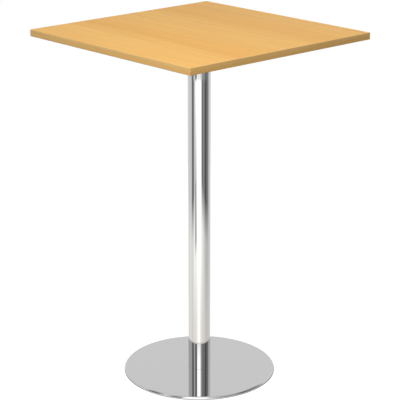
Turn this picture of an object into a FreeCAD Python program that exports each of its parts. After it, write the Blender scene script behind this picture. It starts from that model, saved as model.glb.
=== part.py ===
import FreeCAD, Part

import os

import Sketcher
from FreeCAD import Placement, Rotation, Vector

# A standing-height conference table: a square board with edge bands on a four-armed steel
# carrier, held up by one chromed tube that is screwed to a round steel foot plate.
#
# Frame: millimetres, +Z up, origin on the floor under the middle of the table. X runs along the
# grain of the board. Left and right are -X and +X, front and back are -Y and +Y.

# The driving dimensions. Each is written once, here, and becomes a named cell of the sheet.
SIZES = {
    # Whole table
    "total_height": 1145,  # floor to upper face
    # Board and its edge bands
    "top_length": 750,  # along X, over the bands
    "top_width": 750,  # along Y, over the bands
    "top_thickness": 22,
    "band_thickness": 2,
    "band_arris": 1.5,  # rounding of every outer arris of the bands
    # Foot plate
    "plate_diameter": 500,
    "plate_thickness": 10,
    "plate_rim_inset": 4.2,  # upper edge of the rim, in from its outermost line
    "plate_rim_shoulder": 6.2,  # where its upright and sloping faces would meet
    "plate_rim_bend": 11,  # the wide curve that joins them
    "plate_rim_round": 1,  # upper edge of the rim
    "plate_rim_chamfer": 0.6,  # lower edge of the rim
    # Glides stuck under the foot plate
    "glide_count": 6,
    "glide_circle": 450,
    "glide_diameter": 25,
    "glide_height": 2,
    "glide_chamfer": 0.5,
    # Column tube and the discs welded into its two ends
    "column_diameter": 73,
    "column_wall": 2,
    "column_end_chamfer": 0.4,
    "end_disc_thickness": 12,
    "end_disc_gap": 0.1,  # all round, between disc and tube
    "end_disc_chamfer": 1.2,
    # Countersunk screws that draw the foot plate and the hub plate onto the end discs
    "end_screw_count": 4,
    "end_screw_circle": 44,
    "end_screw_diameter": 8,
    "end_screw_head": 16,
    "end_screw_hole": 9,  # clearance hole in the plates
    "end_screw_recess": 0.2,  # head below the face of its plate
    "end_screw_tip_gap": 2,  # screw tip short of the far side of the disc
    "end_screw_socket": 5,  # across the flats
    "end_screw_socket_depth": 3,
    "seat_gap": 0.1,  # round a countersunk head
    "thread_gap": 0.1,  # round a screw in its tapped hole
    # Hub plate of the carrier
    "hub_reach": 63,  # centre to each of the four flats that an arm meets
    "hub_thickness": 6,
    "hub_weld_margin": 2,  # hub flat beyond each side of the arm
    # Arms of the carrier, pressed as channels that are open below
    "arm_reach": 280,  # centre of the table to the tip
    "arm_width": 40,
    "arm_sheet": 3,
    "arm_root_depth": 24,
    "arm_tip_depth": 10,
    "arm_bend": 4,  # outer radius between web and flange
    "arm_column_gap": 4,  # flange end to the column
    "arm_angle": 45,  # first arm from X, in degrees
    # Screws, washers and insert nuts that hold the board on the arms
    "arm_screw_root_margin": 42,  # inner screw from the hub flat
    "arm_screw_tip_margin": 25,  # outer screw from the tip
    "arm_screw_diameter": 6,
    "arm_screw_engagement": 11,  # screw inside its insert nut
    "arm_screw_head": 10.5,
    "arm_screw_head_height": 3.3,
    "arm_screw_head_bevel": 1.4,
    "arm_screw_hole": 7,  # clearance hole in the arm
    "arm_screw_socket": 4,  # across the flats
    "arm_screw_socket_depth": 2,
    "washer_diameter": 12,
    "washer_hole": 6.4,
    "washer_thickness": 1.6,
    "insert_diameter": 10,
    "insert_spare": 2,  # insert nut beyond the screw tip
    "insert_chamfer": 0.8,  # leading end
    "insert_gap": 0.1,  # round an insert nut in the board
    "insert_floor": 1,  # bottom of the drilled hole beyond the insert nut
    # Cuts run this far past the material that they remove
    "cut_overrun": 1,
}

# The carrier has one arm towards each corner of the table, in this order round the Z axis.
CORNERS = ("back_right", "back_left", "front_left", "front_right")
FULL_TURN = 360
MATCH_TOLERANCE = 0.001

# Lengths that follow from the sheet, as expressions.
UNDERSIDE = "(sizes.total_height - sizes.top_thickness)"
PLATE_TOP = "(sizes.glide_height + sizes.plate_thickness)"
COLUMN_TOP = f"({UNDERSIDE} - sizes.hub_thickness)"
COLUMN_BORE = "(sizes.column_diameter - 2 * sizes.column_wall)"
BOARD_LENGTH = "(sizes.top_length - 2 * sizes.band_thickness)"
BOARD_WIDTH = "(sizes.top_width - 2 * sizes.band_thickness)"
END_SCREW_RADIUS = "(sizes.end_screw_circle / 2)"
END_SCREW_GRIP = "(sizes.end_disc_thickness - sizes.end_screw_tip_gap)"
ARM_INNER_END = "(sizes.column_diameter / 2 + sizes.arm_column_gap)"
INNER_SCREW = "(sizes.hub_reach + sizes.arm_screw_root_margin)"
OUTER_SCREW = "(sizes.arm_reach - sizes.arm_screw_tip_margin)"
INSERT_LENGTH = "(sizes.arm_screw_engagement + sizes.insert_spare)"

doc = FreeCAD.newDocument("standing_table")
sheet = doc.addObject("Spreadsheet::Sheet", "sizes")
for row, (alias, size) in enumerate(SIZES.items(), start=1):
    sheet.set(f"A{row}", alias)
    sheet.set(f"B{row}", str(size))
    sheet.setAlias(f"B{row}", alias)
doc.recompute()

pieces = []


# Shared modelling steps


def value_of(expression):
    found = sheet.evalExpression(expression)
    return float(getattr(found, "Value", found))


def new_piece(label, height, turn="0"):
    """A body of its own, stood at a height and turned about the table's middle."""
    body = doc.addObject("PartDesign::Body", label)
    body.Label = label
    body.Placement = Placement(Vector(), Rotation(Vector(0, 0, 1), value_of(turn)))
    body.setExpression(".Placement.Base.z", height)
    body.setExpression(".Placement.Rotation.Angle", f"({turn}) * 1 deg")
    pieces.append(body)
    return body


def origin_of(body, role):
    return next(feature for feature in body.Origin.OriginFeatures if feature.Role == role)


def sketch_on(body, role, name):
    sketch = body.newObject("Sketcher::SketchObject", name)
    sketch.AttachmentSupport = [(origin_of(body, role), "")]
    sketch.MapMode = "FlatFace"
    return sketch


def bind(sketch, constraint, expression):
    index = sketch.addConstraint(constraint)
    sketch.setExpression(f"Constraints[{index}]", expression)


def add_outline(sketch, corners):
    """A closed run of straight lines through corners given as expressions."""
    places = [(value_of(across), value_of(along)) for across, along in corners]
    count = len(corners)
    first = sketch.GeometryCount
    for index in range(count):
        start = Vector(*places[index], 0)
        end = Vector(*places[(index + 1) % count], 0)
        sketch.addGeometry(Part.LineSegment(start, end), False)
    for index in range(count):
        following = first + (index + 1) % count
        sketch.addConstraint(Sketcher.Constraint("Coincident", first + index, 2, following, 1))
    for index, (corner, place) in enumerate(zip(corners, places)):
        line = first + index
        bind(sketch, Sketcher.Constraint("DistanceX", -1, 1, line, 1, place[0]), corner[0])
        bind(sketch, Sketcher.Constraint("DistanceY", -1, 1, line, 1, place[1]), corner[1])


def add_circle(sketch, across, along, radius):
    centre = Vector(value_of(across), value_of(along), 0)
    size = value_of(radius)
    index = sketch.addGeometry(Part.Circle(centre, Vector(0, 0, 1), size), False)
    bind(sketch, Sketcher.Constraint("DistanceX", -1, 1, index, 3, centre.x), across)
    bind(sketch, Sketcher.Constraint("DistanceY", -1, 1, index, 3, centre.y), along)
    bind(sketch, Sketcher.Constraint("Radius", index, size), radius)


def add_upright_axis(sketch, across, height):
    """A construction line to turn a hollow profile about, and its name."""
    place = value_of(across)
    line = Part.LineSegment(Vector(place, 0, 0), Vector(place, value_of(height), 0))
    index = sketch.addGeometry(line, True)
    sketch.addConstraint(Sketcher.Constraint("Vertical", index))
    bind(sketch, Sketcher.Constraint("DistanceX", -1, 1, index, 1, place), across)
    sketch.addConstraint(Sketcher.Constraint("PointOnObject", index, 1, -1))
    bind(sketch, Sketcher.Constraint("Distance", index, value_of(height)), height)
    return "Axis0"


def add_hexagon(sketch, across, flats):
    """A hexagon for a hex key, centred on the X axis."""
    corner_radius = f"{flats} / 2 / cos(30 deg)"
    turns = [f"({step} * 60 deg)" for step in range(6)]
    corners = [
        (f"{across} + {corner_radius} * cos{turn}", f"{corner_radius} * sin{turn}")
        for turn in turns
    ]
    add_outline(sketch, corners)


def pad(body, sketch, length, name, both_ways=False):
    feature = body.newObject("PartDesign::Pad", name)
    feature.Profile = sketch
    feature.setExpression("Length", length)
    if both_ways:
        feature.SideType = "Symmetric"
    doc.recompute()
    return feature


def cut_with(body, kind, sketch, name):
    feature = body.newObject(kind, name)
    feature.Profile = sketch
    return feature


def check_cut(feature):
    """Stops the build where a cut points away from the solid and takes nothing off."""
    doc.recompute()
    before = feature.BaseFeature.Shape.Volume
    if not feature.Shape.Volume < before:
        raise RuntimeError(f"{feature.Label} cuts nothing")
    return feature


def pocket(body, sketch, length, name, upward=False, both_ways=False):
    feature = cut_with(body, "PartDesign::Pocket", sketch, name)
    feature.setExpression("Length", length)
    feature.Reversed = upward
    if both_ways:
        feature.SideType = "Symmetric"
    return check_cut(feature)


def turn_profile(body, kind, sketch, axis, name):
    """Turns a profile about one of its own lines, to add or to cut."""
    feature = cut_with(body, kind, sketch, name)
    feature.ReferenceAxis = (sketch, [axis])
    feature.Angle = FULL_TURN
    doc.recompute()
    return feature


def repeat_round(body, originals, count, name):
    pattern = body.newObject("PartDesign::PolarPattern", name)
    pattern.Originals = originals
    pattern.Axis = (origin_of(body, "Z_Axis"), [""])
    pattern.Angle = FULL_TURN
    pattern.setExpression("Occurrences", count)
    body.Tip = pattern
    doc.recompute()
    return pattern


def repeat_along_arms(body, originals, name):
    """Repeats the inner screw's feature at the outer screw, and both on every arm."""
    pattern = body.newObject("PartDesign::MultiTransform", name)
    pattern.Originals = originals
    outward = body.newObject("PartDesign::LinearPattern", f"{name}_outward")
    outward.Direction = (origin_of(body, "X_Axis"), [""])
    outward.setExpression("Length", f"{OUTER_SCREW} - {INNER_SCREW}")
    outward.Occurrences = 2
    round_hub = body.newObject("PartDesign::PolarPattern", f"{name}_round_hub")
    round_hub.Axis = (origin_of(body, "Z_Axis"), [""])
    round_hub.Angle = FULL_TURN
    round_hub.Occurrences = len(CORNERS)
    pattern.Transformations = [outward, round_hub]
    body.Tip = pattern
    doc.recompute()
    return pattern


def edges_where(feature, wanted):
    return [
        f"Edge{number}"
        for number, edge in enumerate(feature.Shape.Edges, start=1)
        if wanted(edge.BoundBox)
    ]


def soften(body, kind, feature, wanted, size, name):
    """A fillet or chamfer on the edges whose bounds are the wanted ones."""
    softened = body.newObject(kind, name)
    softened.Base = (feature, edges_where(feature, wanted))
    sized = "Radius" if kind == "PartDesign::Fillet" else "Size"
    softened.setExpression(sized, size)
    doc.recompute()
    return softened


def near(first, second):
    return abs(first - second) < MATCH_TOLERANCE


# Board and edge bands


def make_board():
    board = new_piece("table_top_board", UNDERSIDE)
    face = sketch_on(board, "XY_Plane", "board_face")
    half_length, half_width = f"{BOARD_LENGTH} / 2", f"{BOARD_WIDTH} / 2"
    corners = [
        (f"-{half_length}", f"-{half_width}"),
        (half_length, f"-{half_width}"),
        (half_length, half_width),
        (f"-{half_length}", half_width),
    ]
    add_outline(face, corners)
    pad(board, face, "sizes.top_thickness", "board_core")
    # The insert nuts go into blind holes drilled from below, in line with the arms.
    drilled = sketch_on(board, "XY_Plane", "insert_holes")
    along_arms = Rotation(Vector(0, 0, 1), value_of("sizes.arm_angle"))
    drilled.AttachmentOffset = Placement(Vector(), along_arms)
    drilled.setExpression(".AttachmentOffset.Rotation.Angle", "sizes.arm_angle * 1 deg")
    for distance in (INNER_SCREW, OUTER_SCREW):
        add_circle(drilled, distance, "0", "sizes.insert_diameter / 2 + sizes.insert_gap")
    depth = f"{INSERT_LENGTH} + sizes.insert_floor"
    holes = pocket(board, drilled, depth, "insert_hole", upward=True)
    repeat_round(board, [holes], str(len(CORNERS)), "insert_holes_round_hub")


def make_edge_band(label, length, board_side, quarter_turns, wraps_corners):
    """One band, glued by its back to a side of the board. Two bands wrap over the other two's ends."""
    band = new_piece(label, UNDERSIDE, f"{quarter_turns} * 90")
    outer = f"{board_side} / 2 + sizes.band_thickness"
    plan = sketch_on(band, "XY_Plane", "band_plan")
    corners = [
        (f"-{length} / 2", f"{board_side} / 2"),
        (f"{length} / 2", f"{board_side} / 2"),
        (f"{length} / 2", outer),
        (f"-{length} / 2", outer),
    ]
    add_outline(plan, corners)
    strip = pad(band, plan, "sizes.top_thickness", "strip")
    outer_face, end_face = value_of(outer), value_of(f"{length} / 2")
    back_face, height = value_of(f"{board_side} / 2"), value_of("sizes.top_thickness")

    def is_outer_arris(box):
        on_back = near(box.YMin, back_face) and near(box.YMax, back_face)
        level = near(box.ZMin, box.ZMax)
        on_face = near(box.YMin, outer_face)
        on_end = near(abs(box.XMin), end_face) and near(box.XMin, box.XMax)
        if on_back:
            return False
        if level and near(box.XMin, box.XMax):
            return wraps_corners
        if level:
            return on_face
        return wraps_corners and on_face and on_end and near(box.ZLength, height)

    soften(band, "PartDesign::Fillet", strip, is_outer_arris, "sizes.band_arris", "outer_arrises")


def make_edge_bands():
    make_edge_band("edge_band_back", "sizes.top_length", BOARD_WIDTH, 0, True)
    make_edge_band("edge_band_left", BOARD_WIDTH, BOARD_LENGTH, 1, False)
    make_edge_band("edge_band_front", "sizes.top_length", BOARD_WIDTH, 2, True)
    make_edge_band("edge_band_right", BOARD_WIDTH, BOARD_LENGTH, 3, False)


def make_insert_nuts():
    nuts = new_piece("insert_nuts", UNDERSIDE, "sizes.arm_angle")
    outer = f"{INNER_SCREW} + sizes.insert_diameter / 2"
    bore = f"{INNER_SCREW} + sizes.arm_screw_diameter / 2 + sizes.thread_gap"
    profile = sketch_on(nuts, "XZ_Plane", "insert_profile")
    corners = [
        (bore, "0"),
        (outer, "0"),
        (outer, f"{INSERT_LENGTH} - sizes.insert_chamfer"),
        (f"{outer} - sizes.insert_chamfer", INSERT_LENGTH),
        (bore, INSERT_LENGTH),
    ]
    add_outline(profile, corners)
    axis = add_upright_axis(profile, INNER_SCREW, INSERT_LENGTH)
    sleeve = turn_profile(nuts, "PartDesign::Revolution", profile, axis, "insert_sleeve")
    repeat_along_arms(nuts, [sleeve], "insert_on_arms")


# Carrier under the board


def make_hub_plate():
    hub = new_piece("carrier_hub_plate", COLUMN_TOP, "sizes.arm_angle")
    half_flat = "(sizes.arm_width / 2 + sizes.hub_weld_margin)"
    signs = [("", ""), ("-", ""), ("-", "-"), ("", "-")]
    corners = []
    for step, (across, along) in enumerate(signs):
        flat = (f"{across}sizes.hub_reach", f"{along}{half_flat}")
        turned = (f"{across}{half_flat}", f"{along}sizes.hub_reach")
        corners += [flat, turned] if step % 2 == 0 else [turned, flat]
    plan = sketch_on(hub, "XY_Plane", "hub_plan")
    add_outline(plan, corners)
    pad(hub, plan, "sizes.hub_thickness", "hub_blank")
    seat = cut_screw_seat(hub, "sizes.hub_thickness", "0")
    repeat_round(hub, [seat], "sizes.end_screw_count", "hub_screw_seats")


def make_arm(corner, quarter_turns):
    """A channel that tapers to its tip. Its flanges run on under the hub plate, its web stops there."""
    turn = f"sizes.arm_angle + {quarter_turns} * 90"
    arm = new_piece(f"carrier_arm_{corner}", UNDERSIDE, turn)
    side = sketch_on(arm, "XZ_Plane", "arm_side")
    corners = [
        (ARM_INNER_END, "-sizes.hub_thickness"),
        ("sizes.hub_reach", "-sizes.hub_thickness"),
        ("sizes.hub_reach", "0"),
        ("sizes.arm_reach", "0"),
        ("sizes.arm_reach", "-sizes.arm_tip_depth"),
        ("sizes.hub_reach", "-sizes.arm_root_depth"),
        (ARM_INNER_END, "-sizes.arm_root_depth"),
    ]
    add_outline(side, corners)
    blank = pad(arm, side, "sizes.arm_width", "arm_blank", both_ways=True)
    half_width, root, reach = (
        value_of(size) for size in ("sizes.arm_width / 2", "sizes.hub_reach", "sizes.arm_reach")
    )

    def is_bend(box):
        along_arm = near(box.XMin, root) and near(box.XMax, reach)
        return along_arm and near(abs(box.YMin), half_width) and near(box.ZMin, box.ZMax)

    soften(arm, "PartDesign::Fillet", blank, is_bend, "sizes.arm_bend", "outer_bends")
    hollow = sketch_on(arm, "XZ_Plane", "arm_hollow")
    inner_end = f"{ARM_INNER_END} - sizes.cut_overrun"
    outer_end = "sizes.arm_reach + sizes.cut_overrun"
    below = "-(sizes.arm_root_depth + sizes.cut_overrun)"
    corners = [
        (inner_end, "-sizes.arm_sheet"),
        (inner_end, below),
        (outer_end, below),
        (outer_end, "-sizes.arm_sheet"),
    ]
    add_outline(hollow, corners)
    inner_width = "sizes.arm_width - 2 * sizes.arm_sheet"
    channel = pocket(arm, hollow, inner_width, "channel", both_ways=True)
    inner_half, web = value_of(f"({inner_width}) / 2"), value_of("sizes.arm_sheet")

    def is_inner_corner(box):
        at_web = near(box.ZMin, -web) and near(box.ZMax, -web)
        return at_web and near(abs(box.YMin), inner_half) and near(box.YMin, box.YMax)

    inner_bend = "sizes.arm_bend - sizes.arm_sheet"
    soften(arm, "PartDesign::Fillet", channel, is_inner_corner, inner_bend, "inner_bends")
    drilled = sketch_on(arm, "XY_Plane", "arm_holes")
    for distance in (INNER_SCREW, OUTER_SCREW):
        add_circle(drilled, distance, "0", "sizes.arm_screw_hole / 2")
    pocket(arm, drilled, "sizes.arm_sheet + sizes.cut_overrun", "arm_hole")


def make_arm_washers():
    washers = new_piece("arm_washers", f"{UNDERSIDE} - sizes.arm_sheet", "sizes.arm_angle")
    plan = sketch_on(washers, "XY_Plane", "washer_plan")
    for diameter in ("sizes.washer_diameter", "sizes.washer_hole"):
        add_circle(plan, INNER_SCREW, "0", f"{diameter} / 2")
    ring = pad(washers, plan, "sizes.washer_thickness", "washer")
    ring.Reversed = True
    doc.recompute()
    repeat_along_arms(washers, [ring], "washer_on_arms")


def make_arm_screws():
    """Button-head screws, driven up through washer and arm into the insert nuts."""
    seat = f"{UNDERSIDE} - sizes.arm_sheet - sizes.washer_thickness"
    screws = new_piece("arm_screws", seat, "sizes.arm_angle")
    shank = f"{INNER_SCREW} + sizes.arm_screw_diameter / 2"
    head = f"{INNER_SCREW} + sizes.arm_screw_head / 2"
    tip = "sizes.washer_thickness + sizes.arm_sheet + sizes.arm_screw_engagement"
    profile = sketch_on(screws, "XZ_Plane", "screw_profile")
    corners = [
        (INNER_SCREW, "-sizes.arm_screw_head_height"),
        (f"{head} - sizes.arm_screw_head_bevel", "-sizes.arm_screw_head_height"),
        (head, "sizes.arm_screw_head_bevel - sizes.arm_screw_head_height"),
        (head, "0"),
        (shank, "0"),
        (shank, tip),
        (INNER_SCREW, tip),
    ]
    add_outline(profile, corners)
    axis = f"Edge{len(corners)}"
    turned = turn_profile(screws, "PartDesign::Revolution", profile, axis, "turned_screw")
    socket = cut_socket(screws, INNER_SCREW, "-sizes.arm_screw_head_height", "arm_screw", upward=True)
    repeat_along_arms(screws, [turned, socket], "screw_on_arms")


# Countersunk screws, their seats and the discs that they screw into


def cut_screw_seat(body, face, inward_end):
    """Turns a countersink and its clearance hole out of a plate, from a face to the plate's other side."""
    down = "-1" if value_of(face) > value_of(inward_end) else "1"
    mouth = "(sizes.end_screw_head / 2 + sizes.seat_gap)"
    hole = "(sizes.end_screw_hole / 2)"
    profile = sketch_on(body, "XZ_Plane", "seat_profile")
    recess = "sizes.end_screw_recess"
    corners = [
        (END_SCREW_RADIUS, f"{face} - {down} * sizes.cut_overrun"),
        (f"{END_SCREW_RADIUS} + {mouth}", f"{face} - {down} * sizes.cut_overrun"),
        (f"{END_SCREW_RADIUS} + {mouth}", f"{face} + {down} * {recess}"),
        (f"{END_SCREW_RADIUS} + {hole}", f"{face} + {down} * ({recess} + {mouth} - {hole})"),
        (f"{END_SCREW_RADIUS} + {hole}", f"{inward_end} + {down} * sizes.cut_overrun"),
        (END_SCREW_RADIUS, f"{inward_end} + {down} * sizes.cut_overrun"),
    ]
    add_outline(profile, corners)
    axis = f"Edge{len(corners)}"
    return check_cut(turn_profile(body, "PartDesign::Groove", profile, axis, "screw_seat"))


def cut_socket(body, across, face, screw, upward):
    """A hex socket, cut into a screw head from its outer face."""
    hexagon = sketch_on(body, "XY_Plane", "socket_hexagon")
    hexagon.setExpression(".AttachmentOffset.Base.z", face)
    add_hexagon(hexagon, across, f"sizes.{screw}_socket")
    doc.recompute()
    return pocket(body, hexagon, f"sizes.{screw}_socket_depth", "hex_socket", upward=upward)


def make_end_screws(label, face, plate, upward):
    """Countersunk screws, from the outer face of a plate into the end disc behind it."""
    screws = new_piece(label, face, "sizes.arm_angle")
    into = "1" if upward else "-1"
    shank = f"{END_SCREW_RADIUS} + sizes.end_screw_diameter / 2"
    head = f"{END_SCREW_RADIUS} + sizes.end_screw_head / 2"
    cone = "(sizes.end_screw_head - sizes.end_screw_diameter) / 2"
    recess = f"{into} * sizes.end_screw_recess"
    tip = f"{into} * ({plate} + {END_SCREW_GRIP})"
    profile = sketch_on(screws, "XZ_Plane", "screw_profile")
    corners = [
        (END_SCREW_RADIUS, recess),
        (head, recess),
        (shank, f"{recess} + {into} * {cone}"),
        (shank, tip),
        (END_SCREW_RADIUS, tip),
    ]
    add_outline(profile, corners)
    axis = f"Edge{len(corners)}"
    turned = turn_profile(screws, "PartDesign::Revolution", profile, axis, "turned_screw")
    socket = cut_socket(screws, END_SCREW_RADIUS, recess, "end_screw", upward=upward)
    repeat_round(screws, [turned, socket], "sizes.end_screw_count", "screws_round_column")


def make_end_disc(label, height):
    disc = new_piece(label, height, "sizes.arm_angle")
    plan = sketch_on(disc, "XY_Plane", "disc_plan")
    add_circle(plan, "0", "0", f"{COLUMN_BORE} / 2 - sizes.end_disc_gap")
    blank = pad(disc, plan, "sizes.end_disc_thickness", "disc_blank")
    soften(
        disc, "PartDesign::Chamfer", blank, lambda box: near(box.ZLength, 0), "sizes.end_disc_chamfer",
        "weld_chamfers",
    )
    drilled = sketch_on(disc, "XY_Plane", "tapped_hole")
    add_circle(drilled, END_SCREW_RADIUS, "0", "sizes.end_screw_diameter / 2 + sizes.thread_gap")
    depth = "sizes.end_disc_thickness + sizes.cut_overrun"
    hole = pocket(disc, drilled, depth, "tapped", upward=True)
    repeat_round(disc, [hole], "sizes.end_screw_count", "tapped_holes")


# Column, foot plate and glides


def make_column():
    column = new_piece("column_tube", PLATE_TOP)
    section = sketch_on(column, "XY_Plane", "tube_section")
    for diameter in ("sizes.column_diameter", COLUMN_BORE):
        add_circle(section, "0", "0", f"{diameter} / 2")
    tube = pad(column, section, f"{COLUMN_TOP} - {PLATE_TOP}", "tube")
    outer = value_of("sizes.column_diameter")

    def is_outer_rim(box):
        return near(box.ZLength, 0) and near(box.XLength, outer)

    soften(
        column, "PartDesign::Chamfer", tube, is_outer_rim, "sizes.column_end_chamfer", "deburred_ends"
    )


def make_foot_plate():
    plate = new_piece("foot_plate", "sizes.glide_height", "sizes.arm_angle")
    rim = "sizes.plate_diameter / 2"
    profile = sketch_on(plate, "XZ_Plane", "plate_profile")
    corners = [
        ("0", "0"),
        (f"{rim} - sizes.plate_rim_chamfer", "0"),
        (rim, "sizes.plate_rim_chamfer"),
        (rim, "sizes.plate_rim_shoulder"),
        (f"{rim} - sizes.plate_rim_inset", "sizes.plate_thickness"),
        ("0", "sizes.plate_thickness"),
    ]
    add_outline(profile, corners)
    axis = f"Edge{len(corners)}"
    blank = turn_profile(plate, "PartDesign::Revolution", profile, axis, "turned_plate")
    shoulder = value_of("sizes.plate_rim_shoulder")
    top = value_of("sizes.plate_thickness")

    def is_shoulder(box):
        return near(box.ZMin, shoulder) and near(box.ZMax, shoulder)

    curved = soften(
        plate, "PartDesign::Fillet", blank, is_shoulder, "sizes.plate_rim_bend", "curved_rim"
    )
    soften(
        plate, "PartDesign::Fillet", curved, lambda box: near(box.ZMin, top), "sizes.plate_rim_round",
        "upper_rim",
    )
    seat = cut_screw_seat(plate, "0", "sizes.plate_thickness")
    repeat_round(plate, [seat], "sizes.end_screw_count", "plate_screw_seats")


def make_glides():
    count = round(sheet.glide_count)
    for number in range(count):
        turn = f"{number} * {FULL_TURN} / sizes.glide_count"
        glide = new_piece(f"glide_pad_{number + 1}", "0", turn)
        plan = sketch_on(glide, "XY_Plane", "glide_plan")
        add_circle(plan, "sizes.glide_circle / 2", "0", "sizes.glide_diameter / 2")
        pad_blank = pad(glide, plan, "sizes.glide_height", "glide")
        soften(
            glide, "PartDesign::Chamfer", pad_blank, lambda box: near(box.ZMax, 0), "sizes.glide_chamfer",
            "sliding_edge",
        )


def export_pieces():
    """Writes each piece to its own file, once every object of the document has come out sound."""
    doc.recompute()
    for item in doc.Objects:
        if {"Invalid", "Error"} & set(item.State):
            raise RuntimeError(f"{item.Label} failed: {item.State}")
    for piece in pieces:
        if piece.Shape.isNull() or not piece.Shape.isValid():
            raise RuntimeError(f"{piece.Label} has no sound shape")
    os.makedirs("parts", exist_ok=True)
    for piece in pieces:
        piece.Shape.exportStep(f"parts/{piece.Label}.step")
        print(f"{piece.Label}: {len(piece.Shape.Solids)} solids, {piece.Shape.Volume:.0f} mm3")


make_board()
make_edge_bands()
make_insert_nuts()
make_hub_plate()
for quarter, corner_name in enumerate(CORNERS):
    make_arm(corner_name, quarter)
make_arm_washers()
make_arm_screws()
make_end_disc("column_head_disc", f"{COLUMN_TOP} - sizes.end_disc_thickness")
make_end_screws("head_screws", UNDERSIDE, "sizes.hub_thickness", upward=False)
make_column()
make_end_disc("column_foot_disc", PLATE_TOP)
make_end_screws("foot_screws", "sizes.glide_height", "sizes.plate_thickness", upward=True)
make_foot_plate()
make_glides()
export_pieces()
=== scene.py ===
import math

import bmesh
import bpy
from mathutils import Matrix, Vector


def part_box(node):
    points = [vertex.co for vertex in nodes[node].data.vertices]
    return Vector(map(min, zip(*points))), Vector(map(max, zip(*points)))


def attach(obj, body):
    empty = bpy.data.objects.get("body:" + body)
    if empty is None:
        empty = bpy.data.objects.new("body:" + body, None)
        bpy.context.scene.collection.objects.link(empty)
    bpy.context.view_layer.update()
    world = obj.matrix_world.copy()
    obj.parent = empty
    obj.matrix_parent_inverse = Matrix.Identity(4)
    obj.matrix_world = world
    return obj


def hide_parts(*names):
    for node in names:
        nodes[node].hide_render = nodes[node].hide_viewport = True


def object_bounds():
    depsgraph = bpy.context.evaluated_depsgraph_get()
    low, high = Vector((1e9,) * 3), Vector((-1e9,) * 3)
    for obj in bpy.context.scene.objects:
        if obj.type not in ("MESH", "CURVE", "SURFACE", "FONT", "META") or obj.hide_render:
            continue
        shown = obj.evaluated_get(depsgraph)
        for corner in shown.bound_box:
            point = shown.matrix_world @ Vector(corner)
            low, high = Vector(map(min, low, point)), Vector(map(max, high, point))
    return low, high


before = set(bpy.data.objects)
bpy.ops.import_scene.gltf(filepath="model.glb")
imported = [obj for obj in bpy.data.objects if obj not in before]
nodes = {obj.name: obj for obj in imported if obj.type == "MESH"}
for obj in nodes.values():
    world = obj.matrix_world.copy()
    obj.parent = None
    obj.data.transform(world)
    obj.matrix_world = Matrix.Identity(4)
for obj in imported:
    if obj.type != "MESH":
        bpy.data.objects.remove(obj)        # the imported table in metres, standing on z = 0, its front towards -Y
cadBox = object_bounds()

scene = bpy.context.scene
mm = 0.001   # metres


def linear(hexColour):
    parts = [int(hexColour[i:i + 2], 16) / 255 for i in (1, 3, 5)]
    parts = [p / 12.92 if p <= 0.04045 else ((p + 0.055) / 1.055) ** 2.4 for p in parts]
    return (*parts, 1.0)


# a share or a level of light, written as a colour
def grey(level):
    return (level, level, level, 1.0)


# sockets of a Mix node that mixes colours: the two that go in and the one that comes out
colourA, colourB, mixedColour = 6, 7, 2


# settings go to the node's own properties or, where it has none of that name, to its sockets
def addNode(tree, kind, settings=None, links=None):
    node = tree.nodes.new("ShaderNode" + kind)
    for key, value in (settings or {}).items():
        if key == "stops":   # (place, colour) along a colour ramp
            elements = node.color_ramp.elements
            elements[0].position, elements[0].color = value[0]
            elements[1].position, elements[1].color = value[-1]
            for place, colour in value[1:-1]:
                elements.new(place).color = colour
        elif isinstance(key, str) and hasattr(node, key):
            setattr(node, key, value)
        else:
            node.inputs[key].default_value = value
    for key, source in (links or {}).items():
        if isinstance(source, bpy.types.Node):   # a node stands for its first output
            source = source.outputs[0]
        tree.links.new(source, node.inputs[key])
    return node


# camera
cameraPlan = {
    "place": (3.31067, -3.00901, 2.03044),   # metres
    "aim": (0.00153, 0.00168, 0.59198),
    "lens": 130.99, "sensor": 36,            # mm, for a square picture
    "farthest": 60,                          # metres
}
cameraData = bpy.data.cameras.new("photoCamera")
cameraData.lens = cameraPlan["lens"]
cameraData.sensor_width = cameraPlan["sensor"]
cameraData.clip_end = cameraPlan["farthest"]
camera = bpy.data.objects.new("photoCamera", cameraData)
scene.collection.objects.link(camera)
camera.location = cameraPlan["place"]
sight = Vector(cameraPlan["aim"]) - Vector(cameraPlan["place"])
camera.rotation_euler = sight.to_track_quat("-Z", "Y").to_euler()
scene.camera = camera
scene.view_settings.view_transform = "Standard"
print("camera in place")

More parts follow.
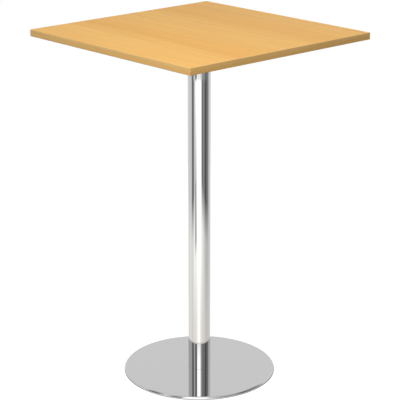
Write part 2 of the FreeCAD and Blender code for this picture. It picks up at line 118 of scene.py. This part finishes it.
# white studio
# It is laid out from the camera's side of the table. Turns are in degrees, seen from above, and the
# rise of a direction is its sine. A panel runs from one turn to another at one level, where 1 is plain
# white, and neighbours fade into each other.
studio = {
    "brightest": 3.6,             # the whitest that polished metal sees
    # well below the horizon, beyond the paper: white behind, dark gaps at both sides, a white screen on
    # the left, a lamp in front
    "walls": [(-180, -150, 1.0), (-120, -85, 1.05), (-76, -61, 0.24), (-50, -46, 1.08), (-36, 14, 2.0),
              (30, 33, 0.2), (41, 46, 0.45), (64, 68, 0.12), (80, 91, 0.28), (119, 136, 1.08),
              (155, 180, 1.0)],
    # from a little below the horizon up, with the lamps
    "lamps": [(-180, -150, 1.0), (-120, -86, 1.02), (-77, -64, 0.27), (-53, -50, 1.25), (-39, -27, 0.28),
              (-18, 9, 3.6), (16, 18, 1.1), (34, 57, 0.47), (69, 71, 0.14), (82, 98, 0.36),
              (112, 136, 1.1), (155, 180, 1.0)],
    "lampFoot": (-0.2275, -0.226),   # rise at which the walls give way to the lamps
    "lampHead": (0.55, 0.7),      # and the lamps to plain white overhead
    # a plainer strip below the front lamp: its share, its level and the rise at which it shows
    "skirt": [(-180, -27, 0.0), (-19, 14, 0.85), (20, 180, 0.0)],
    "skirtLevel": 1.1, "skirtOnLamps": (0.41, 0.385),
    # the paper in polished metal, a glow with painted lamp light, brightest under the front lamp: halfway out and
    # close to the table
    "paperFar": [(-180, -125, 1.18), (-106, -88, 1.32), (-76, -64, 1.24), (-51, -29, 1.7),
                 (-18, 13, 2.0), (33, 34, 1.44), (68, 95, 0.88), (115, 180, 1.03)],
    "paperNear": [(-180, -125, 1.18), (-106, -90, 1.32), (-76, -72, 1.17), (-52, -31, 1.36),
                  (-8, 1, 2.0), (14, 15, 1.5), (34, 50, 1.21), (68, 100, 1.02), (115, 180, 1.05)],
    "farTint": "#FFFFFB", "nearTint": "#FFFBF6",
    "paperRun": 2.4,              # metres from the table to the paper's edge in front
    "paperSides": 1.29,           # times narrower to the sides
    "paperSteps": 128,
    "farFade": (2.39, 1.65),      # metres, from the walls to the paper
    "nearFade": (1.3, 0.4),       # from the far to the near paper
    # a lamp stand that is not built, a thin dark line painted into what polished metal sees: its share, its level,
    # the rise at which it shows on the walls and the distance at which it shows on the paper
    "stand": [(-180, -46, 0.0), (-39, -33, 0.85), (-23, 180, 0.0)],
    "standLevel": 0.3, "standOnWalls": (-0.235, -0.305), "standOnPaper": (1.25, 1.5),
    "plateShade": (0.29, 0.262), "shadeLevel": 0.45,   # painted shade on the paper beside the foot plate, seen only by metal
    "paperColour": "#B8B8B6",
    "paperGlow": 0.86,            # white where the camera looks, over the paper's own shade
    "evenLight": 0.14,            # light from all round
}
frontTurn = math.atan2(cameraPlan["place"][1], cameraPlan["place"][0])


def panelStops(panels, brightest=studio["brightest"], tint="#FFFFFF"):
    stops = []
    for start, end, level in panels:
        colour = [part * level / brightest for part in linear(tint)[:3]]
        stops += [((turn + 180) / 360, (*colour, 1.0)) for turn in (start, end)]
    return stops


# the turn of a place or direction, as 0 to 1 round the table
def turnAround(tree, place):
    turned = addNode(tree, "Mapping", {"Rotation": (0, 0, -frontTurn)}, {"Vector": place})
    around = addNode(tree, "TexGradient", {"gradient_type": "RADIAL"}, {"Vector": turned})
    return turned, around.outputs["Fac"]


# how much of a stand or skirt shows, by its turn and by its rise or distance
def shareOf(thing, tree, around, measure, fade):
    band = addNode(tree, "ValToRGB", {"stops": panelStops(studio[thing], 1.0)}, {"Fac": around})
    shown = addNode(tree, "MapRange", {"From Min": fade[0], "From Max": fade[1]}, {"Value": measure})
    return addNode(tree, "Math", {"operation": "MULTIPLY"}, {0: band, 1: shown})


scene.world = bpy.data.worlds.new("whiteStudio")
scene.world.use_nodes = True
tree = scene.world.node_tree
tree.nodes.clear()
path = addNode(tree, "LightPath")
where = addNode(tree, "TexCoord").outputs["Generated"]
turned, around = turnAround(tree, where)
rise = addNode(tree, "SeparateXYZ", {}, {"Vector": where}).outputs["Z"]
white = addNode(tree, "Background", {"Color": grey(1.0), "Strength": 1.0})
lights = {}
for zone in ("walls", "lamps"):
    band = addNode(tree, "ValToRGB", {"stops": panelStops(studio[zone])}, {"Fac": around})
    lights[zone] = addNode(tree, "Background", {"Strength": studio["brightest"]}, {"Color": band})
for zone, thing, fade in (("walls", "stand", "standOnWalls"), ("lamps", "skirt", "skirtOnLamps")):
    level = grey(studio[thing + "Level"])
    plain = addNode(tree, "Background", {"Color": level, "Strength": 1.0})
    share = shareOf(thing, tree, around, rise, studio[fade])
    lights[zone] = addNode(tree, "MixShader", {}, {"Fac": share, 1: lights[zone], 2: plain})
room = lights["walls"]
for fade, above in (("lampFoot", lights["lamps"]), ("lampHead", white)):
    low, high = studio[fade]
    share = addNode(tree, "MapRange", {"From Min": low, "From Max": high}, {"Value": rise})
    room = addNode(tree, "MixShader", {}, {"Fac": share, 1: room, 2: above})
looked = addNode(tree, "MixShader", {}, {"Fac": path.outputs["Is Glossy Ray"], 1: white, 2: room})
shown = path.outputs["Is Camera Ray"]
for ray in ("Is Glossy Ray", "Is Transmission Ray"):
    shown = addNode(tree, "Math", {"operation": "MAXIMUM"}, {0: shown, 1: path.outputs[ray]})
evenLight = addNode(tree, "Background", {"Color": grey(1.0), "Strength": studio["evenLight"]})
both = addNode(tree, "MixShader", {}, {"Fac": shown, 1: evenLight, 2: looked})
addNode(tree, "OutputWorld", {}, {"Surface": both})

# matt white paper under the table: it takes the shadow, and metal sees on it a glow with painted lamp light and
# painted shade in place of the lamps' light
paper = bpy.data.materials.new("paper_white_matt")
paper.use_nodes = True
tree = paper.node_tree
tree.nodes.clear()
path = addNode(tree, "LightPath")
turned, around = turnAround(tree, addNode(tree, "TexCoord").outputs["Object"])
sides = (1, studio["paperSides"], 1)
squeezed = addNode(tree, "VectorMath", {"operation": "MULTIPLY", 1: sides}, {0: turned})
distance = addNode(tree, "VectorMath", {"operation": "LENGTH"}, {0: squeezed}).outputs["Value"]
tone = addNode(tree, "ValToRGB", {"stops": panelStops(studio["walls"])}, {"Fac": around})
for fade, zone, tint in (("farFade", "paperFar", "farTint"), ("nearFade", "paperNear", "nearTint")):
    low, high = studio[fade]
    share = addNode(tree, "MapRange", {"From Min": low, "From Max": high}, {"Value": distance})
    stops = panelStops(studio[zone], tint=studio[tint])
    band = addNode(tree, "ValToRGB", {"stops": stops}, {"Fac": around})
    tone = addNode(tree, "Mix", {"data_type": "RGBA"},
                   {"Factor": share, colourA: tone, colourB: band}).outputs[mixedColour]
radius = addNode(tree, "VectorMath", {"operation": "LENGTH"}, {0: turned}).outputs["Value"]
# a painted contact shadow on the paper beside the foot plate, in the glow that metal sees
low, high = studio["plateShade"]
shade = addNode(tree, "MapRange", {"From Min": low, "From Max": high}, {"Value": radius})
# the unbuilt stand's painted dark line on the paper, in the glow that metal sees
stand = shareOf("stand", tree, around, distance, studio["standOnPaper"])
for share, level in ((shade, "shadeLevel"), (stand, "standLevel")):
    darker = grey(studio[level] / studio["brightest"])
    tone = addNode(tree, "Mix", {"data_type": "RGBA", colourB: darker},
                   {"Factor": share, colourA: tone}).outputs[mixedColour]
# what metal sees of the paper: painted lamp light and painted shade, as a glow
paintedGlowInMetal = addNode(tree, "Emission", {"Strength": studio["brightest"]}, {"Color": tone})
matt = addNode(tree, "BsdfDiffuse", {"Color": linear(studio["paperColour"])})
looking = addNode(tree, "Math", {"operation": "MAXIMUM"},
                  {0: path.outputs["Is Camera Ray"], 1: path.outputs["Is Transmission Ray"]})
glowing = addNode(tree, "Math", {"operation": "MULTIPLY", 1: studio["paperGlow"]}, {0: looking})
glow = addNode(tree, "Emission", {"Color": grey(1.0)}, {"Strength": glowing})
surface = addNode(tree, "AddShader", {}, {0: matt, 1: glow})
both = addNode(tree, "MixShader", {}, {"Fac": path.outputs["Is Glossy Ray"], 1: surface, 2: paintedGlowInMetal})
addNode(tree, "OutputMaterial", {}, {"Surface": both})

floorMesh = bpy.data.meshes.new("paperFloor")
shape = bmesh.new()
oval = Matrix.Rotation(frontTurn, 4, "Z") @ Matrix.Diagonal((1, 1 / studio["paperSides"], 1, 1))
bmesh.ops.create_circle(
    shape, cap_ends=True, segments=studio["paperSteps"], radius=studio["paperRun"], matrix=oval)
shape.to_mesh(floorMesh)
shape.free()
floorMesh.materials.append(paper)
paperFloor = bpy.data.objects.new("paperFloor", floorMesh)
scene.collection.objects.link(paperFloor)

# three soft lamps aimed at the middle of the top: turn and rise in degrees, distance and size in metres
softboxes = {
    "frontBox": {"turn": -12, "rise": 37, "distance": 3.5, "size": 1.5, "power": 109},
    "roofBox": {"turn": 0, "rise": 86, "distance": 2.2, "size": 1.8, "power": 17},
    "backBox": {"turn": 167, "rise": 3, "distance": 4.5, "size": 1.6, "power": 55},
}
topMiddle = Vector((0, 0, cadBox[1][2]))
for name, box in softboxes.items():
    lampData = bpy.data.lights.new(name, "AREA")
    lampData.energy = box["power"]
    lampData.size = box["size"]
    lamp = bpy.data.objects.new(name, lampData)
    scene.collection.objects.link(lamp)
    turn, rise = frontTurn + math.radians(box["turn"]), math.radians(box["rise"])
    toLamp = Vector((math.cos(turn) * math.cos(rise), math.sin(turn) * math.cos(rise), math.sin(rise)))
    lamp.location = topMiddle + toLamp * box["distance"]
    lamp.rotation_euler = (-toLamp).to_track_quat("-Z", "Y").to_euler()
    lamp.visible_camera = False
    lamp.visible_glossy = False   # metal sees the studio's panels instead
print("studio lit")


# what every material starts from: its shader, and the place on the table in metres
def startMaterial(name, surface):
    material = bpy.data.materials.new(name)
    material.use_nodes = True
    tree = material.node_tree
    tree.nodes.clear()
    shader = addNode(tree, "BsdfPrincipled", surface)
    addNode(tree, "OutputMaterial", {}, {"Surface": shader})
    where = addNode(tree, "TexCoord")
    return material, tree, shader, where.outputs["Object"]


# clouds of uneven tone, of that size in mm along X, Y and Z
def clouds(tree, place, cellMm, detail):
    scale = tuple(1 / (size * mm) for size in cellMm)
    cells = addNode(tree, "Mapping", {"Scale": scale}, {"Vector": place})
    return addNode(tree, "TexNoise", {"Scale": 1.0, "Detail": detail}, {"Vector": cells}).outputs["Fac"]


# what a pattern gives a surface, where its finish names it: two colours, uneven roughness, low relief
def applyPattern(tree, shader, finish, pattern):
    if "colours" in finish:
        first, second = finish["colours"]
        colours = {"data_type": "RGBA", colourA: linear(first), colourB: linear(second)}
        tone = addNode(tree, "Mix", colours, {"Factor": pattern})
        tree.links.new(tone.outputs[mixedColour], shader.inputs["Base Color"])
    if "roughness" in finish:
        bright, dull = finish["roughness"]
        haze = addNode(tree, "MapRange", {"To Min": bright, "To Max": dull}, {"Value": pattern})
        tree.links.new(haze.outputs[0], shader.inputs["Roughness"])
    if "relief" in finish:
        strength, depth = finish["relief"]
        relief = addNode(tree, "Bump", {"Strength": strength, "Distance": depth * mm},
                         {"Height": pattern})
        tree.links.new(relief.outputs[0], shader.inputs["Normal"])


# printed beech decor, on the board and on its edging
# Melamine-faced chipboard: a beech print under clear resin, pressed against a fine pearl plate. The eye
# sees calm straight streaks along the board, a few warmer bands, small dark flecks and a dull sheen.
boardDecor = {
    "name": "melamine_beech_print_pressed",
    "surface": {"IOR": 1.5, "Specular IOR Level": 0.3},
    "pale": "#E9B75D", "warm": "#E2A645", "streak": "#D79A40", "fleck": "#BE8734",
    # middle of each tone across the board in mm, and how warm the print is there
    "tones": [(-375, 0.3), (-305, 0.1), (-235, 0.0), (-200, 0.25), (-160, 1.0), (-125, 0.75),
              (-60, 0.35), (50, 0.0), (100, 0.1), (175, 0.85), (220, 0.6), (275, 0.45), (310, 0.1),
              (375, 0.3)],
    "width": 750,
    "drift": 14,                       # mm that a streak wanders sideways
    # cells in mm, along and across
    "driftCell": (620, 160),
    "streakCell": (900, 15),           # real streaks are 5 to 20 mm wide
    "fineCell": (240, 4.5),
    "fleckCell": (16, 2.4),            # real flecks are 3 by 0.5 mm, drawn coarser to show
    "pearlCell": 1.4,                  # real pearl grain is 0.2 mm, drawn coarser to show
    "roughness": (0.46, 0.56),
    "relief": (0.12, 0.2),             # its strength, and its height in mm
}
# ABS edging: the same print on an extruded plastic strip, its grain along the strip. It looks a shade
# duller than the board, with finer streaks and a soft satin shine on its rounded arrises.
edgeDecor = {
    "name": "abs_beech_print_extruded",
    "surface": {"IOR": 1.5, "Specular IOR Level": 0.3},
    "pale": "#E9C07B", "warm": "#E0B065", "streak": "#D4A25B", "fleck": "#BE8A48",
    "tones": [(-11, 1.0), (-6, 0.6), (2, 0.2), (11, 0.0)],
    "width": 22,
    "drift": 1.5,
    "driftCell": (300, 20),
    "streakCell": (500, 5),
    "fineCell": (160, 1.8),
    "fleckCell": (14, 1.5),            # drawn coarser to show, as on the board
    "pearlCell": 1.2,                  # this too
    "roughness": (0.4, 0.5),
    "relief": (0.12, 0.2),
}
# where each ink starts and is full in its noise, and how much of it is laid on, one over the other
inks = (
    ("streakCell", (0.4, 0.75), 0.5, "streak"),
    ("fineCell", (0.42, 0.8), 0.75, "streak"),
    ("fleckCell", (0.66, 0.78), 0.5, "fleck"),
)
throughCell = 1000   # mm; the print hardly changes through the board


def printBeech(decor, alongEdge):
    material, tree, shader, place = startMaterial(decor["name"], decor["surface"])
    pearl = clouds(tree, place, [decor["pearlCell"]] * 3, detail=1.0)
    half = decor["width"] * mm / 2
    if alongEdge:   # round the table the grain runs on along each strip, its tones across the thickness
        split = addNode(tree, "SeparateXYZ", {}, {"Vector": place}).outputs
        length = addNode(tree, "Math", {"operation": "ADD"}, {0: split["X"], 1: split["Y"]})
        bandMiddle = cadBox[1][2] - half
        height = addNode(tree, "Math", {"operation": "SUBTRACT", 1: bandMiddle}, {0: split["Z"]})
        place = addNode(tree, "CombineXYZ", {}, {"X": length, "Y": height})
    # the sideways drift of the streaks
    drift = clouds(tree, place, (*decor["driftCell"], throughCell), detail=1.0)
    reach = decor["drift"] * mm
    aside = addNode(tree, "MapRange", {"To Min": -reach, "To Max": reach}, {"Value": drift})
    shift = addNode(tree, "CombineXYZ", {}, {"Y": aside})
    grain = addNode(tree, "VectorMath", {"operation": "ADD"}, {0: place, 1: shift})
    # wide tones across the print
    across = addNode(tree, "SeparateXYZ", {}, {"Vector": grain}).outputs["Y"]
    across = addNode(tree, "MapRange", {"From Min": -half, "From Max": half}, {"Value": across})
    stops = [(middle / decor["width"] + 0.5, grey(tone)) for middle, tone in decor["tones"]]
    tones = addNode(tree, "ValToRGB", {"stops": stops}, {"Fac": across})
    colours = {"data_type": "RGBA", colourA: linear(decor["pale"]), colourB: linear(decor["warm"])}
    colour = addNode(tree, "Mix", colours, {"Factor": tones}).outputs[mixedColour]
    for cell, (start, full), weight, ink in inks:
        noise = clouds(tree, grain, (*decor[cell], throughCell), detail=2.0)
        amount = addNode(tree, "MapRange", {"From Min": start, "From Max": full, "To Max": weight},
                         {"Value": noise})
        colour = addNode(tree, "Mix", {"data_type": "RGBA", colourB: linear(decor[ink])},
                         {"Factor": amount, colourA: colour}).outputs[mixedColour]
    tree.links.new(colour, shader.inputs["Base Color"])
    applyPattern(tree, shader, decor, pearl)   # the pressing plate's pearl, in shine and relief
    return material


beechBoard = printBeech(boardDecor, False)
beechEdging = printBeech(edgeDecor, True)
nodes["table_top_board"].material_slots[0].material = beechBoard
for side in ("front", "right", "back", "left"):
    nodes["edge_band_" + side].material_slots[0].material = beechEdging
print("board and edging printed")

# chromium on polished steel
# Bright chromium plate: a cool mirror that takes all its tones from the room, with the faintest haze of
# the polishing belt left in it. The foot plate's curved rim, turned and not belted, shines more softly.
chromeFinish = {
    "name": "chromium_plate_polished",
    "surface": {"Base Color": linear("#C1C1C1"), "Metallic": 1.0},
    "roughness": (0.012, 0.03),
    "beltMark": (3, 3, 60),       # mm; real belt marks are 0.05 mm wide, drawn coarser to show at all
    "rimStart": (245.2, 245.8),   # mm from the axis
    "rimHaze": 0.075,             # roughness that the rim adds
}
chrome, tree, shader, place = startMaterial(chromeFinish["name"], chromeFinish["surface"])
marks = clouds(tree, place, chromeFinish["beltMark"], detail=2.0)
bright, dull = chromeFinish["roughness"]
haze = addNode(tree, "MapRange", {"To Min": bright, "To Max": dull}, {"Value": marks})
flat = addNode(tree, "VectorMath", {"operation": "MULTIPLY", 1: (1 / mm, 1 / mm, 0)}, {0: place})
radius = addNode(tree, "VectorMath", {"operation": "LENGTH"}, {0: flat}).outputs["Value"]
first, last = chromeFinish["rimStart"]
softer = {"From Min": first, "From Max": last, "To Max": chromeFinish["rimHaze"]}
rim = addNode(tree, "MapRange", softer, {"Value": radius})
haze = addNode(tree, "Math", {"operation": "ADD"}, {0: haze, 1: rim})
tree.links.new(haze.outputs[0], shader.inputs["Roughness"])

# black powder coat on the carrier
# Baked polyester powder: near black, half dull, with the low ripple of orange peel in its highlights.
coatFinish = {
    "name": "polyester_powder_baked_black",
    "surface": {"Roughness": 0.48, "IOR": 1.5},
    "colours": ("#232324", "#2E2E2F"),   # full, and where the coat is thin
    "cell": 2.2, "detail": 1.5,          # mm, the peel
    "relief": (0.35, 0.3),
}

# zinc plate on the screws and washers
# Bright zinc with a clear passivate: a pale grey metal, cloudy from place to place, a little blue and
# straw.
zincFinish = {
    "name": "zinc_plate_passivated",
    "surface": {"Metallic": 1.0},
    "colours": ("#B9C0C6", "#C9C6B4"),   # blue and straw
    "cell": 3.0, "detail": 2.0,          # mm, the clouds
    "roughness": (0.22, 0.4),
}

# grey nylon of the glides
# Nylon moulded in an eroded tool: mid grey, waxy, softly shining, finely grained and slightly cloudy.
nylonFinish = {
    "name": "nylon_moulded_grey",
    "surface": {"Roughness": 0.42, "IOR": 1.53},
    "colours": ("#6E7072", "#7C7E80"),
    "cell": 0.9, "detail": 2.0,          # mm; real eroded grain is about 0.1 mm, drawn coarser to show
    "relief": (0.2, 0.1),
}


def cloudedMaterial(finish):
    material, tree, shader, place = startMaterial(finish["name"], finish["surface"])
    applyPattern(tree, shader, finish, clouds(tree, place, [finish["cell"]] * 3, finish["detail"]))
    return material


blackCoat = cloudedMaterial(coatFinish)
zinc = cloudedMaterial(zincFinish)
nylon = cloudedMaterial(nylonFinish)

# turned steel and turned brass inside the column and the board
# Metal straight from the lathe: fine rings from the tool that draw its highlights out across them.
turnedFinishes = {
    "steel": {
        "name": "mild_steel_turned",
        "surface": {"Metallic": 1.0, "Roughness": 0.34},
        "colours": ("#9A9894", "#7E7C79"),
        "feed": 0.8,   # mm; real feed marks are 0.1 to 0.2 mm apart, drawn coarser to show
        "waver": 0.4,
        "relief": (0.2, 0.1),
    },
    "brass": {
        "name": "brass_turned",
        "surface": {"Metallic": 1.0, "Roughness": 0.28},
        "colours": ("#C9A35A", "#AD8645"),
        "feed": 0.6,
        "waver": 0.4,
        "relief": (0.2, 0.1),
    },
}
ringPerCell = math.pi / 10   # scale at which one ring of the wave is one cell wide


def turnedMaterial(finish):
    material, tree, shader, place = startMaterial(finish["name"], finish["surface"])
    scale = [1 / (finish["feed"] * mm)] * 3
    cells = addNode(tree, "Mapping", {"Scale": scale}, {"Vector": place})
    wave = {"wave_type": "RINGS", "rings_direction": "Z", "Scale": ringPerCell,
            "Distortion": finish["waver"]}
    rings = addNode(tree, "TexWave", wave, {"Vector": cells}).outputs["Fac"]
    applyPattern(tree, shader, finish, rings)
    return material


turnedSteel = turnedMaterial(turnedFinishes["steel"])
turnedBrass = turnedMaterial(turnedFinishes["brass"])

# the four corners of the carrier in their order round the column, the first at 45 degrees
corners = ("back_right", "back_left", "front_left", "front_right")
cornerTurns = {corner: math.radians(45 + 90 * quarter) for quarter, corner in enumerate(corners)}
finishes = {
    "foot_plate": chrome,
    "carrier_hub_plate": blackCoat,
    "arm_washers": zinc, "head_screws": zinc, "foot_screws": zinc,
    "column_head_disc": turnedSteel, "column_foot_disc": turnedSteel,
    "insert_nuts": turnedBrass,
}
finishes.update({"carrier_arm_" + corner: blackCoat for corner in corners})
for nodeName, finish in finishes.items():
    nodes[nodeName].material_slots[0].material = finish
print("finishes given to the CAD pieces")


# turned and welded pieces
# rings of (radius, height) in mm, from one end of a profile to the other; the word hexagon makes a ring
# a hexagon that is twice the radius across its flats; a radius of 0 closes an end, loop joins both ends
def addTurned(shape, rings, steps, move, loop=False):
    side = math.pi / 3   # of a hexagon, as a turn
    built = []
    for radius, height, *hexagon in rings:
        if radius == 0:
            built.append([shape.verts.new(move @ Vector((0, 0, height * mm)))])
            continue
        row = []
        for step in range(steps):
            turn = 2 * math.pi * step / steps
            reach = radius
            if hexagon:
                reach = radius / math.cos((turn + side / 2) % side - side / 2)
            point = Vector((reach * math.cos(turn), reach * math.sin(turn), height)) * mm
            row.append(shape.verts.new(move @ point))
        built.append(row)
    pairs = list(zip(built, built[1:]))
    if loop:
        pairs.append((built[-1], built[0]))
    for low, high in pairs:
        for step in range(steps):
            after = (step + 1) % steps
            face = [row[place % len(row)] for row, place in
                    ((low, step), (low, after), (high, after), (high, step))]
            shape.faces.new(list(dict.fromkeys(face)))   # a triangle where a ring is one point


# edges that turn by more than the sharp angle, in degrees, stay sharp
def finishPiece(name, shape, material, replaced, sharpAngle=32):
    bmesh.ops.recalc_face_normals(shape, faces=shape.faces)
    mesh = bpy.data.meshes.new(name)
    shape.to_mesh(mesh)
    shape.free()
    mesh.polygons.foreach_set("use_smooth", [True] * len(mesh.polygons))
    mesh.set_sharp_from_angle(angle=math.radians(sharpAngle))
    mesh.materials.append(material)
    piece = bpy.data.objects.new(name, mesh)
    scene.collection.objects.link(piece)
    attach(piece, "root")
    if replaced:
        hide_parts(*replaced)


# seamless tube, finely divided so that the mirror runs true
tubePlan = {"wall": 2.0, "endChamfer": 0.4, "steps": 256}   # mm
low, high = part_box("column_tube")
outer, foot, head = high[0] / mm, low[2] / mm, high[2] / mm
bore, bevel = outer - tubePlan["wall"], tubePlan["endChamfer"]
rings = [(outer - bevel, foot), (outer, foot + bevel), (outer, head - bevel), (outer - bevel, head),
         (bore, head), (bore, foot)]
shape = bmesh.new()
addTurned(shape, rings, tubePlan["steps"], Matrix.Identity(4), loop=True)
finishPiece("column_tube_polished", shape, chrome, ["column_tube"])

# glides: a low moulded puck with a soft edge, and a shallow dish below that leaves a ring to slide on
glidePlan = {   # mm
    "edge": 0.6, "edgeSteps": 6, "topBevel": 0.2, "ringWidth": 4.5,
    "dish": 0.35, "dishLip": 0.1, "dishEase": 0.5, "steps": 72,
}
for nodeName in sorted(name for name in nodes if name.startswith("glide_pad_")):
    low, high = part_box(nodeName)
    middle = (low + high) / 2
    radius, top = (high[0] - low[0]) / 2 / mm, high[2] / mm
    edge, bevel = glidePlan["edge"], glidePlan["topBevel"]
    dish, lip, ease = glidePlan["dish"], glidePlan["dishLip"], glidePlan["dishEase"]
    inside = radius - glidePlan["ringWidth"]
    rings = [(0, top), (radius - bevel, top), (radius, top - bevel)]
    for part in range(glidePlan["edgeSteps"] + 1):   # the soft edge, a quarter of a circle
        slant = math.radians(90 * part / glidePlan["edgeSteps"])
        rings.append((radius - edge + edge * math.cos(slant), edge - edge * math.sin(slant)))
    rings += [(inside + ease, 0), (inside, lip), (inside - ease, dish), (0, dish)]
    shape = bmesh.new()
    addTurned(shape, rings, glidePlan["steps"], Matrix.Translation((middle[0], middle[1], 0)))
    finishPiece(nodeName.replace("pad", "puck"), shape, nylon, [nodeName])

# button-head screws: a domed head with a hexagon socket, looking down out of the arms
screwPlan = {   # mm
    "alongArm": (105, 255), "shank": 3.0, "tipBevel": (0.7, 0.8), "steps": 48,
    "headRadius": 5.25, "headHeight": 3.3, "rimHeight": 0.5, "crownRadius": 2.75, "domeSteps": 8,
    "socket": 4.0, "socketDepth": 2.0, "socketLip": 0.12, "drillPoint": 0.5,
    "socketTurn": 0.4,   # radians for each mm along the arm, so that the sockets don't line up
}
low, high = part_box("arm_screws")
under, tip = low[2] / mm, high[2] / mm
seat = under + screwPlan["headHeight"]
flat, floor = screwPlan["socket"] / 2, under + screwPlan["socketDepth"]
crown, rim, shank = screwPlan["crownRadius"], screwPlan["headRadius"], screwPlan["shank"]
domeHeight = screwPlan["headHeight"] - screwPlan["rimHeight"]
rings = [(0, floor + screwPlan["drillPoint"]), (flat, floor, "hexagon"),
         (flat, under + screwPlan["socketLip"], "hexagon"), (crown, under)]
for part in range(1, screwPlan["domeSteps"] + 1):   # the dome, a quarter of an ellipse down to the rim
    slant = math.radians(90 * part / screwPlan["domeSteps"])
    rings.append((crown + (rim - crown) * math.sin(slant), under + domeHeight * (1 - math.cos(slant))))
bevelIn, bevelLength = screwPlan["tipBevel"]
rings += [(rim, seat), (shank, seat), (shank, tip - bevelLength), (shank - bevelIn, tip), (0, tip)]
shape = bmesh.new()
for turn in cornerTurns.values():
    for distance in screwPlan["alongArm"]:
        spot = Vector((math.cos(turn), math.sin(turn), 0)) * distance * mm
        twist = Matrix.Rotation(turn + screwPlan["socketTurn"] * distance, 4, "Z")
        addTurned(shape, rings, screwPlan["steps"], Matrix.Translation(spot) @ twist)
finishPiece("arm_screws_domed", shape, zinc, ["arm_screws"])

# weld beads that join each arm to the hub plate and are coated with them: a hand weld's ripples
weldPlan = {   # mm
    "leg": 1.9, "webLeg": 2.4, "crown": 0.5, "faceSteps": 6,
    "bite": 0.1,                      # how far its root goes into the corner
    "ripple": 2.4, "rippleSteps": 8,
    "swell": 0.16,                    # of a ripple, as a share of the leg
    "endSize": 0.45, "growth": 6.0,   # size at an end, and how fast it grows along the bead, as shares
    "flangeSide": 20.0, "flangeRun": (42.0, 62.0), "hubFlat": 63.0, "webRun": (-15.0, 15.0),
    "sharpAngle": 50,                 # degrees
}


# the bead's section is a fillet with a raised face, and it swells once in every ripple
def addBead(shape, move, start, run, legOne, legTwo, leg):
    waveSteps, faceSteps = weldPlan["rippleSteps"], weldPlan["faceSteps"]
    count = round(run.length / mm / weldPlan["ripple"]) * waveSteps
    outward = (legOne + legTwo).normalized()
    rows = []
    for step in range(count + 1):
        along = step / count
        spot = start + run * along
        wave = (step % waveSteps) / waveSteps
        taper = min(1.0, weldPlan["endSize"] + weldPlan["growth"] * min(along, 1 - along))
        size = leg * (1 - weldPlan["swell"] * wave * wave) * taper * mm
        row = [spot - (legOne + legTwo) * weldPlan["bite"] * mm]
        for part in range(faceSteps + 1):
            share = part / faceSteps
            bulge = weldPlan["crown"] / leg * size * math.sin(math.pi * share)
            row.append(spot + legOne * size * (1 - share) + legTwo * size * share + outward * bulge)
        rows.append([shape.verts.new(move @ point) for point in row])
    for near, far in zip(rows, rows[1:]):
        for part in range(len(near)):
            after = (part + 1) % len(near)
            shape.faces.new([near[part], near[after], far[after], far[part]])
    for end in (rows[0], rows[-1]):
        shape.faces.new(end)


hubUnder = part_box("carrier_hub_plate")[0][2]
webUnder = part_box("arm_washers")[1][2]
down = Vector((0, 0, -1))
for corner, turn in cornerTurns.items():
    move = Matrix.Rotation(turn, 4, "Z")
    shape = bmesh.new()
    first, last = weldPlan["flangeRun"]
    for hand in (-1, 1):
        start = Vector((first * mm, hand * weldPlan["flangeSide"] * mm, hubUnder))
        run = Vector(((last - first) * mm, 0, 0))
        addBead(shape, move, start, run, Vector((0, hand, 0)), down, weldPlan["leg"])
    first, last = weldPlan["webRun"]
    start = Vector((weldPlan["hubFlat"] * mm, first * mm, webUnder))
    run = Vector((0, (last - first) * mm, 0))
    addBead(shape, move, start, run, Vector((1, 0, 0)), down, weldPlan["webLeg"])
    name = "weld_beads_" + corner
    finishPiece(name, shape, blackCoat, [], weldPlan["sharpAngle"])
print("turned and welded pieces made")
